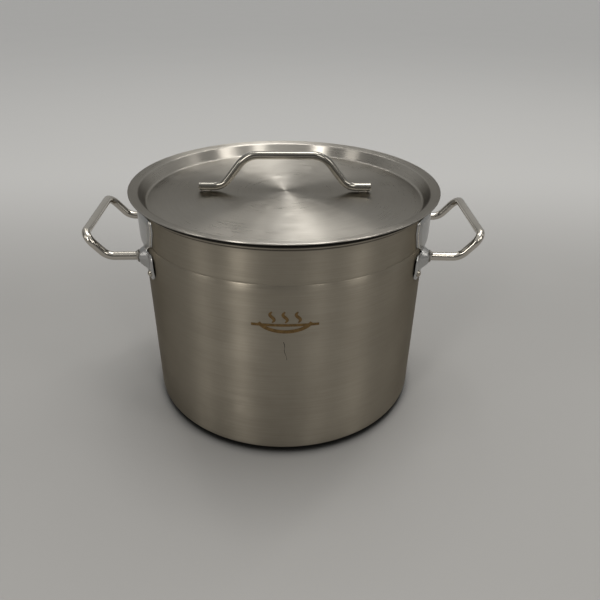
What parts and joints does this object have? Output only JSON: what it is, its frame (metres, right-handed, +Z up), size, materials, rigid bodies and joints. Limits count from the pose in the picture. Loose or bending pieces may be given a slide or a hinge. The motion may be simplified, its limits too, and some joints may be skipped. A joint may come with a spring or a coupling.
{
  "type": "stock pot",
  "caption": "Tall straight-walled stainless steel cooking pot with a rolled rim, riveted bent-bar side handles and a recessed drop-in lid with its own bar handle.",
  "frame": {"origin": "on the pot's axis, on the surface that it stands on", "axes": "+Z up along the pot's axis, +X through both side handles, -Y is the front"},
  "size_m": [0.3848, 0.3002, 0.2553],
  "materials": {
    "shell_steel": "fine circumferential brushing",
    "lid_steel": "fine circular brushing",
    "bracket_steel": "satin, tumbled",
    "rod_steel": "polished round bar",
    "rivet_steel": "polished",
    "weld_steel": "cleaned weld bead",
    "base_steel": "brushed, slightly dulled by use",
    "base_aluminium": "sheared disc, hidden inside the base"
  },
  "bodies": {
    "pot": {"pot_shell": "shell_steel", "base_core": "base_aluminium", "base_cap": "base_steel", "left_handle_bracket": "bracket_steel", "left_handle_rod": "rod_steel", "left_handle_weld_front": "weld_steel", "left_rivet_front": "rivet_steel", "left_handle_weld_rear": "weld_steel", "left_rivet_rear": "rivet_steel", "right_handle_bracket": "bracket_steel", "right_handle_rod": "rod_steel", "right_handle_weld_front": "weld_steel", "right_rivet_front": "rivet_steel", "right_handle_weld_rear": "weld_steel", "right_rivet_rear": "rivet_steel"},
    "lid": {"lid_shell": "lid_steel", "lid_handle": "rod_steel", "lid_weld_left": "weld_steel", "lid_weld_right": "weld_steel"}
  },
  "joints": [
    {"name": "lid_lift", "type": "slide", "parent": "pot", "child": "lid", "axis": [0, 0, 1], "range_m": [0, 0.25]}
  ]
}
